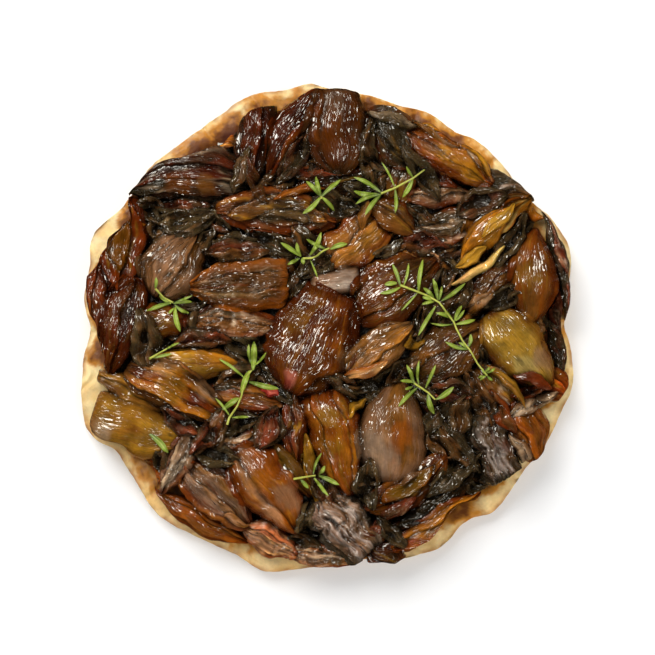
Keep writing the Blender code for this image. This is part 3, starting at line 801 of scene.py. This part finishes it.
def pastry_surface():
    """The puff pastry, turned round its outline, with a wavy top and flaky layers at its side."""
    A, _ = np.meshgrid(TURNS, np.zeros(len(pastry_section())))
    R0, Z0, kind = (column[:, None] + 0 * A for column in pastry_section().T)
    weight = smooth(92, RIM_RADIUS, R0)
    stretch = OUTLINE - RIM_RADIUS
    u = A * RIM_RADIUS  # mm along the rim
    ragged = 0.35 * fbm(u / 9, 3.3, 501, 2) + 0.15 * noise(u / 2.5, 8.1, 502)
    R = R0 + weight * stretch + smooth(101, RIM_RADIUS, R0) * ragged
    x, y = R * np.cos(A), R * np.sin(A)
    wave = 0.9 * fbm(x / 13, y / 13, 503) + 0.25 * fbm(x / 3, y / 3, 504)
    wave = wave - 1.0 * smooth(0.75, 0.95, ridged(u / 17, R0 / 40, 506, 1))
    top = kind == 0
    Z = Z0 + top * smooth(RIM_INNER, 96, R0) * wave - weight * np.maximum(0, stretch) * 0.25
    Z = np.where(kind == 2, np.maximum(Z, 0), Z)
    flakes = ridged(u / 14, Z0 / 0.55, 505, 2) - 0.5
    R = R + smooth(103, 106.5, R0) * (kind >= 1) * smooth(1.0, 3.0, Z0) * flakes * 0.4
    x, y = R * np.cos(A), R * np.sin(A)

    # Pale dough that browns in clouds and along its lip, stained by caramel from inside
    cream, gold = srgb(245, 221, 162), srgb(235, 198, 128)
    toast, bake = srgb(212, 152, 72), srgb(158, 88, 30)
    tint = mix(cream, gold, smooth(-0.3, 0.4, fbm(x / 12, y / 12, 511)))
    tint = mix(tint, toast, smooth(0.2, 0.7, fbm(u / 12, R0 / 2.5, 512)) * 0.4)
    # Browner towards -y, the lower side of the view.
    tint = mix(tint, toast, 0.3 * smooth(0, -90, y))
    lip = smooth(104.8, RIM_RADIUS, R0) * smooth(-0.35, 0.35, fbm(u / 9, 1.2, 513))
    tint = mix(tint, bake, lip * 0.75)
    soak = R + 8 * fbm(x / 16, y / 16, 514, 2) + 4 * fbm(x / 4, y / 4, 516)
    tint = mix(tint, srgb(196, 128, 36), top * smooth(106, 102.5, soak))
    tint = mix(tint, TONES["amber"], top * smooth(102.5, 99, soak))
    tint = mix(tint, TONES["mahogany"], top * smooth(97.5, 94.5, soak))
    tint = mix(tint, mix(gold, toast, smooth(-0.3, 0.3, fbm(x / 15, y / 15, 515))), kind == 2)
    return [np.stack([x, y, Z], -1), tint]


# ---- thyme

# Each sprig lies on a CAD shallot: its stem's points and then its leaves, as
# (root x, root y, tip x, tip y, width), in mm from the middle of that shallot
SPRIGS = (
    ("inner_18", ((20, 6.5), (20, 7.5)), (
        (20, 7.5, 17.7, 16.3, 2.3), (20, 7.5, 13.4, 14.5, 2.2), (20, 7.5, 28.5, 15.2, 2.2),
        (20, 7.5, 25.9, 1.6, 2.0), (20, 7.5, 11.9, 0.1, 2.5))),
    ("inner_23", ((-7.5, -4.5), (-1.3, -2), (6.8, 2.4), (11.6, 6)), (
        (-7.2, -4.3, -19.4, 2.7, 2.2), (-9, -4.6, -19.4, -3.5, 2.6), (-7.5, -4.7, -18.6, -9, 2.2),
        (-7.6, -5, -14.6, -14.2, 2.4), (-1.3, -2, -7.2, 9.3, 1.1), (-1.3, -2.4, -1.3, -13.1, 1.9),
        (6.8, 2.4, 3.5, 7.1, 1.5), (6.6, 2.2, 2, -6.1, 2.4))),
    ("inner_16", ((28, 11.5), (32, 11.7), (34, 12.5), (36.5, 14.5), (39.5, 16)), (
        (27, 12.5, 18.2, 18.5, 2.3), (27, 12.5, 25.2, 18.5, 2), (26.5, 11.8, 21.2, 8.8, 1.8),
        (28, 12, 28.2, 9, 2.2), (31, 13, 36, 23.1, 2.4), (31.2, 11, 34.5, 2.8, 1),
        (38, 15.5, 29.5, 20, 1.9), (40, 15.5, 47.3, 17.8, 2.6))),
    ("inner_14", ((-2.5, 14), (1, 10), (5, 8)), (
        (-2.7, 14, -2.2, 19, 1.7), (4.5, 8, -6.3, 4.2, 2.1), (5.5, 8, 13.5, 11, 1.2),
        (5, 7.5, 13.2, 8.3, 2), (5.7, 7, 12, 3.3, 1.8), (6, 6, 8.3, -4.8, 2.6),
        (5.5, 5.5, 3.2, 3, 1.4), (4, 7.5, -1, 11, 2))),
    ("inner_05", ((2, 1), (6, -0.5), (10, -2), (14, -3.5), (19, -6.5), (22, -10.5), (25.5, -15),
                  (26.5, -18), (29, -23), (32.5, -27.5), (36, -33.5), (40, -38.5)), (
        (2, 0.8, -1.5, 10.5, 2), (3.5, 1, 5.7, 10.7, 1.4), (0.5, 2, -5, 1.3, 2.4),
        (2, 0.2, -7, -2.5, 2), (10, -2, 12, 12.4, 2.2), (9.5, -2.4, 2.5, -10, 1.1),
        (17, -5, 12, 0, 2), (18.5, -5.5, 16.3, 4, 2.2), (19, -5.5, 20.5, 0.8, 1.4),
        (16, -5.5, 11.7, -4, 2.2), (17, -6, 11.5, -7.3, 1.6), (20, -5.8, 30.5, 2, 2.1),
        (17.5, -8, 10, -21, 2), (25, -13.5, 17.5, -11, 2), (24.5, -13, 21.5, -10, 1.8),
        (26, -14.5, 29, -7.8, 2), (26.5, -14.5, 30.3, -9.7, 1.5), (26.5, -16, 35, -14, 2),
        (25, -16, 15.5, -15.5, 1.2), (31.5, -27, 21.7, -23.7, 2), (31, -26.5, 27.5, -24, 1.4),
        (31.8, -26, 32.8, -20.3, 2), (39.5, -37.5, 43.5, -35, 1.3), (39, -37, 41.2, -34.6, 1.3),
        (39, -38, 37.8, -35.2, 1.2), (39.5, -38.5, 37, -40.5, 1.2), (40, -38.5, 42.5, -40.6, 1.5),
        (38.5, -38.5, 36.2, -39.5, 1))),
    ("inner_07", ((9, 21.5), (12, 19.5), (15, 17.5), (18, 14.5)), (
        (9, 21, 5.5, 29.7, 2), (9.5, 22, 2.8, 22.7, 1.8), (10.3, 19.5, 1.8, 11.5, 2.2),
        (8.5, 20, 4.8, 19, 1.5), (11, 21, 11, 31.6, 1.5), (14, 19.5, 18.3, 29.7, 1.7),
        (18.5, 14.5, 26.3, 20, 2.8), (15, 17, 17.8, 8, 2.8))),
    ("inner_11", ((-8.5, -11.5), (-7.5, -8.5), (-4.5, -4), (-2.5, 0.5), (-0.5, 9), (2, 12)), (
        (-2.5, 2, 1, 12, 3), (2.5, 12, 3, 24.7, 3.3), (1.5, 15, 0.7, 23.5, 1.6),
        (3, 14, 8.5, 20, 1.3), (-1.5, 9, -12.2, 17, 1.6), (1, 7, 14, 4, 2.8),
        (-7.5, -7.5, -13.8, 0, 1.3), (-10.5, -5, -3.5, 0, 3), (-6.5, -8.5, 1, -8.5, 1.3))),
    ("inner_08", ((-19, -15.2), (-14, -14.5), (-9.5, -14)), (
        (-10.5, -13.5, -6.7, -3.8, 1.4), (-8, -13.5, -5.3, -9.5, 1.9), (-8, -14, 1, -17.7, 2.4),
        (-10, -15, -3.7, -22.5, 1.8), (-16, -15.5, -12.5, -19.5, 2))),
    ("rim_10", (), ((4.9, -1.7, 13, -9.9, 3.2),)),
    ("inner_13", ((-20.2, 2.3), (-13, 6.5)), ((-14, 6, -7.3, 9.3, 1.2), (-18.7, 2.6, -10.3, 4.5, 1.6))),
)


def herb_leaf(root, tip, width, height_at, seed):
    """A narrow leaf with a folded middle, rising from its root and sinking at its tip."""
    along = tip - root
    length = np.hypot(*along)
    side = np.array([-along[1], along[0]]) / length
    T, S = np.meshgrid(np.linspace(0, 1, 13), np.linspace(-1, 1, 7), indexing="ij")
    half = width / 2 * np.clip((T + 0.03) ** 0.5 * (1 - T**3.2) ** 0.8 * 1.25, 0.04, None)
    curve = (lattice(np.int64(seed), np.int64(3), 9) - 0.5) * 0.16 * length
    flat = root + T[..., None] * along + (S * half + curve * np.sin(T * math.pi))[..., None] * side
    ground = height_at(flat)
    base = np.maximum(ground[:, 3], ground.mean(1))[:, None]
    z = base + 0.9 * np.sin(T * math.pi * 0.85) + 0.5 + 0.35 * np.abs(S) * half
    top = np.concatenate([flat, z[..., None]], -1)
    bottom = top - np.array([0, 0, 0.35])
    points = np.concatenate([top, bottom[:, ::-1]], 1)
    leaf, pale, deep = srgb(124, 142, 40), srgb(184, 192, 104), srgb(78, 100, 26)
    fresh = smooth(0.2, 0.9, lattice(np.int64(seed), np.int64(7), 5) + 0 * T)
    tint = mix(mix(deep, leaf, smooth(0, 0.7, T)), leaf * 1.15, fresh)
    tint = mix(tint, pale, np.exp(-((S / 0.22) ** 2)) * 0.45)
    tint = np.concatenate([tint, np.broadcast_to(pale, tint.shape)], 1)
    return points, tint


def herb_stem(line, height_at):
    """A round stem along points that lie on the shallots."""
    steps = np.linspace(0, len(line) - 1, 10 * (len(line) - 1) + 1)
    flat = np.stack([np.interp(steps, np.arange(len(line)), line[:, k]) for k in (0, 1)], -1)
    z = np.convolve(np.pad(height_at(flat), 4, mode="edge"), np.ones(9) / 9, "valid") + 1.2
    spine = np.concatenate([flat, z[:, None]], -1)
    tangent = np.gradient(spine, axis=0)
    tangent /= np.linalg.norm(tangent, axis=1, keepdims=True) + 1e-9
    side = np.cross(tangent, [0, 0, 1.0])
    side /= np.linalg.norm(side, axis=1, keepdims=True) + 1e-9
    up = np.cross(side, tangent)
    turn = np.linspace(0, 2 * math.pi, 8, endpoint=False)[:, None]
    thick = np.linspace(0.5, 0.36, len(spine))[:, None, None]
    points = spine[:, None] + thick * (np.cos(turn) * side[:, None] + np.sin(turn) * up[:, None])
    return points, np.broadcast_to(srgb(176, 178, 78), points.shape)


def thyme_surfaces(terrain):
    """All stems and leaves, lying on the highest place near each of their points."""
    top = terrain.height
    for axis in (0, 1):
        top = np.maximum(top, np.maximum(np.roll(top, 1, axis), np.roll(top, -1, axis)))

    def height_at(flat):
        return terrain.sample(top, flat)

    surfaces = []
    seed = 900
    for anchor, stem, leaves in SPRIGS:
        middle = np.array(centre(anchor).xy)
        if stem:
            surfaces.append(herb_stem(middle + stem, height_at))
        for x0, y0, x1, y1, width in leaves:
            seed += 1
            surfaces.append(herb_leaf(middle + (x0, y0), middle + (x1, y1), width, height_at, seed))
    for points, _ in surfaces:
        points[..., 2] = press(points[..., 2], THYME_CEILING, 0.7)
    return surfaces


# ---- materials


class Paint:
    """A material with its shader, and the nodes that are wired into it."""

    def __init__(self, name, **sockets):
        self.material = bpy.data.materials.new(name)
        self.material.use_nodes = True
        self.tree = self.material.node_tree
        self.shader = self.tree.nodes["Principled BSDF"]
        for key, value in sockets.items():
            self.shader.inputs[key.replace("_", " ")].default_value = value

    def node(self, kind, output, inputs, operation=None):
        """A new node's output; its inputs are numbers or the outputs of other nodes."""
        node = self.tree.nodes.new("ShaderNode" + kind)
        if operation:
            node.operation = operation
        for key, value in inputs.items():
            if isinstance(value, bpy.types.NodeSocket):
                self.tree.links.new(value, node.inputs[key])
            else:
                node.inputs[key].default_value = value
        return node.outputs[output]

    def attribute(self, name, output):
        socket = self.node("Attribute", output, {})
        socket.node.attribute_name = name
        return socket

    def noise(self, vector, scale, detail, stretch=(1, 1, 1)):
        place = self.node("Mapping", "Vector", {"Vector": vector, "Scale": stretch})
        grain = {"Scale": scale, "Detail": detail, "Roughness": 0.55}
        return self.node("TexNoise", "Fac", {"Vector": place, **grain})

    def spread(self, value, to_low, to_high, low=0.3, high=0.7):
        """A noise spread over a new range."""
        limits = {"From Min": low, "From Max": high, "To Min": to_low, "To Max": to_high}
        return self.node("MapRange", "Result", {"Value": value, **limits})

    def crests(self, value):
        """Sharp crests where a noise crosses its middle, as strong as the glaze is wrinkled."""
        offset = self.node("Math", 0, {0: value, 1: 0.5}, "SUBTRACT")
        crest = self.spread(self.node("Math", 0, {0: offset}, "ABSOLUTE"), 1.0, 0.0, 0.0, 0.16)
        return self.node("Math", 0, {0: crest, 1: self.attribute("wrinkled", "Fac")}, "MULTIPLY")

    def bump(self, height, strength, distance, before=None):
        inputs = {"Height": height, "Strength": strength, "Distance": distance}
        if before:
            inputs["Normal"] = before
        return self.node("Bump", "Normal", inputs)

    def wire(self, socket, output):
        self.tree.links.new(output, self.shader.inputs[socket])

    def wire_colour(self, *clouds):
        """The tint of the points, made uneven by noises, each darkening and brightening it."""
        colour = self.attribute("tint", "Color")
        for value, dark, bright in clouds:
            factor = self.spread(value, dark, bright)
            colour = self.node("VectorMath", "Vector", {0: colour, "Scale": factor}, "SCALE")
        self.wire("Base Color", colour)


def shallot_material():
    paint = Paint(
        "glazed_shallot", Coat_Weight=1.0, Coat_Roughness=0.06, Subsurface_Weight=0.06,
        Subsurface_Scale=0.002, Subsurface_Radius=(1.0, 0.35, 0.12), Specular_IOR_Level=0.04,
    )
    grain = paint.attribute("grain", "Vector")
    fibre = paint.noise(grain, 1.0, 5, (0.16, 1.7, 1))
    specks = paint.noise(grain, 0.8, 3)
    paint.wire_colour((fibre, 0.82, 1.16), (specks, 0.88, 1.12))
    paint.wire("Roughness", paint.spread(specks, 0.22, 0.42))
    paint.wire("Normal", paint.bump(fibre, 0.8, 0.0006))

    # The glaze has its own smooth surface: soft beads with long and short wrinkles
    glaze = paint.bump(paint.noise(grain, 1.0, 0, (0.16, 0.85, 1)), 0.42, 0.0012)
    long_wrinkles = paint.crests(paint.noise(grain, 1.0, 0, (0.08, 0.45, 1)))
    glaze = paint.bump(long_wrinkles, 1.0, 0.0009, glaze)
    short_wrinkles = paint.crests(paint.noise(grain, 1.0, 0, (0.2, 0.85, 1)))
    paint.wire("Coat Normal", paint.bump(short_wrinkles, 1.0, 0.0006, glaze))
    return paint.material


def caramel_material():
    paint = Paint("burnt_caramel", Coat_Weight=0.5, Coat_Roughness=0.08, Specular_IOR_Level=0.1)
    grain = paint.attribute("grain", "Vector")
    cloud = paint.noise(grain, 0.35, 5)
    paint.wire_colour((cloud, 0.5, 1.5))
    paint.wire("Roughness", paint.spread(cloud, 0.12, 0.4))
    paint.wire("Normal", paint.bump(paint.noise(grain, 0.9, 4), 0.6, 0.001))
    return paint.material


def pastry_material():
    paint = Paint(
        "baked_pastry", Subsurface_Weight=0.15, Subsurface_Scale=0.003,
        Subsurface_Radius=(1.0, 0.6, 0.3), Specular_IOR_Level=0.35,
    )
    where = paint.node("TexCoord", "Object", {})
    cloud = paint.noise(where, 160, 5)
    fine = paint.noise(where, 900, 3)
    paint.wire_colour((cloud, 0.86, 1.1), (fine, 0.93, 1.05))
    paint.wire("Roughness", paint.spread(cloud, 0.45, 0.7))
    paint.wire("Normal", paint.bump(fine, 0.3, 0.0004, paint.bump(cloud, 0.5, 0.0012)))
    return paint.material


def thyme_material():
    paint = Paint(
        "fresh_thyme", Subsurface_Weight=0.15, Subsurface_Scale=0.001,
        Subsurface_Radius=(0.5, 1.0, 0.2), Specular_IOR_Level=0.35,
    )
    cloud = paint.noise(paint.node("TexCoord", "Object", {}), 700, 3)
    paint.wire_colour((cloud, 0.85, 1.15))
    paint.wire("Roughness", paint.spread(cloud, 0.4, 0.65))
    paint.wire("Normal", paint.bump(cloud, 0.3, 0.0003))
    return paint.material


# ---- studio

FLOOR_REACH = 3.0  # m
CAMERA_PLACE = (0.0002, 0, 1.02)  # m, straight above

# Place (m), side (m), power (W), colour, and whether it shows in the gloss instead of lighting
LIGHTS = {
    "key": ((-0.5, 0.95, 1.15), 1.1, 25, (1, 0.99, 0.97), False),
    "fill": ((1.3, -0.9, 1.5), 1.8, 20, (1, 1, 1), False),
    "window": ((-0.7, 0.6, 1.25), 0.64, 36, (1, 0.97, 0.86), True),
    "sky": ((-0.16, 0.2, 1.3), 0.42, 0.6, (1, 0.95, 0.9), True),
}


def add_light(name, place, side, watts, colour, in_gloss):
    data = bpy.data.lights.new(name, "AREA")
    data.shape = "SQUARE"
    data.size = side
    data.energy = watts
    data.color = colour
    lamp = bpy.data.objects.new(name, data)
    bpy.context.scene.collection.objects.link(lamp)
    lamp.location = place
    lamp.rotation_mode = "QUATERNION"
    lamp.rotation_quaternion = (-Vector(place)).to_track_quat("-Z", "Y")
    lamp.visible_glossy = in_gloss
    lamp.visible_diffuse = not in_gloss


def make_studio():
    """A plain white floor under soft light, and the camera straight above it."""
    scene = bpy.context.scene
    scene.view_settings.view_transform = "Standard"
    world = bpy.data.worlds.new("studio")
    world.use_nodes = True
    background = world.node_tree.nodes["Background"]
    background.inputs["Color"].default_value = (1, 1, 1, 1)
    background.inputs["Strength"].default_value = 0.42
    world.cycles_visibility.glossy = False
    scene.world = world

    paint = Paint("white_floor", Roughness=0.9, Specular_IOR_Level=0.1, Base_Color=(0.9, 0.9, 0.9, 1))
    paint.shader.inputs["Emission Color"].default_value = (1, 1, 1, 1)
    paint.shader.inputs["Emission Strength"].default_value = 0.06
    mesh = bpy.data.meshes.new("floor")
    floor_corners = [(x * FLOOR_REACH, y * FLOOR_REACH, 0) for x, y in ((-1, -1), (1, -1), (1, 1), (-1, 1))]
    mesh.from_pydata(floor_corners, [], [(0, 1, 2, 3)])
    mesh.materials.append(paint.material)
    floor = bpy.data.objects.new("floor", mesh)
    scene.collection.objects.link(floor)
    floor.visible_glossy = False
    for name, light in LIGHTS.items():
        add_light(name, *light)

    camera_data = bpy.data.cameras.new("camera")
    camera_data.lens = 125
    camera_data.sensor_width = 36
    camera = bpy.data.objects.new("camera", camera_data)
    scene.collection.objects.link(camera)
    camera.location = CAMERA_PLACE
    scene.camera = camera


# ---- the tart

terrain = Terrain(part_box("caramel_bed")[0].z / MM)
bed = bed_surface()
pastry = pastry_surface()
terrain.add(bed[0])
terrain.add(pastry[0])

# The lowest shallots are laid first and the others over them
seeds = {name: 31 * number + 5 for number, name in enumerate(LOOKS)}
cooked = {}
for name in sorted(LOOKS, key=lambda name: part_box("shallot_" + name)[1].z):
    size = measure("shallot_" + name, LOOKS[name].heading)
    cooked[name] = lay(terrain, size, LOOKS[name], seeds[name])

loose = [loose_leaf(terrain, row, 3001 + 17 * k, 4) for k, row in enumerate(LOOSE)]
leaves = fill_gaps(terrain, LEAVES, 5000)
shreds = fill_gaps(terrain, SHREDS, 9000)
loose += [loose_leaf(terrain, row, 7001 + 17 * k, 0) for k, row in enumerate(TOPMOST)]

# Painted shade, partly standing for the darker caramel pooled low: whatever lies lower than its surroundings
# is darkened, creases most; places level with their surroundings are painted about a quarter lighter and
# raised crests lighter still
level = terrain.blurred(3.0)
near = terrain.blurred(1.0)
for surface in [bed] + list(cooked.values()) + loose + leaves + shreds:
    points = surface[0]
    depth = terrain.sample(level, points) - points[..., 2]
    dip = terrain.sample(near, points) - points[..., 2]
    shade = 1.25 - 0.56 * smooth(-0.6, 3.6, depth) - 0.36 * smooth(0.1, 1.1, dip)
    shade = shade + 0.3 * smooth(0.0, -0.8, dip)
    surface[1] = surface[1] * shade[..., None]

glazed = shallot_material()
for name, surface in cooked.items():
    node = "shallot_" + name
    finish_piece("cooked_" + name, [surface], glazed, node)
finish_piece("loose_leaves", loose, glazed)
finish_piece("collapsed_leaves", leaves, glazed)
finish_piece("shreds", shreds, glazed)
finish_piece("dark_caramel", [bed], caramel_material(), "caramel_bed")
finish_piece("puff_pastry", [pastry], pastry_material(), "pastry")
finish_piece("thyme", thyme_surfaces(terrain), thyme_material())
make_studio()
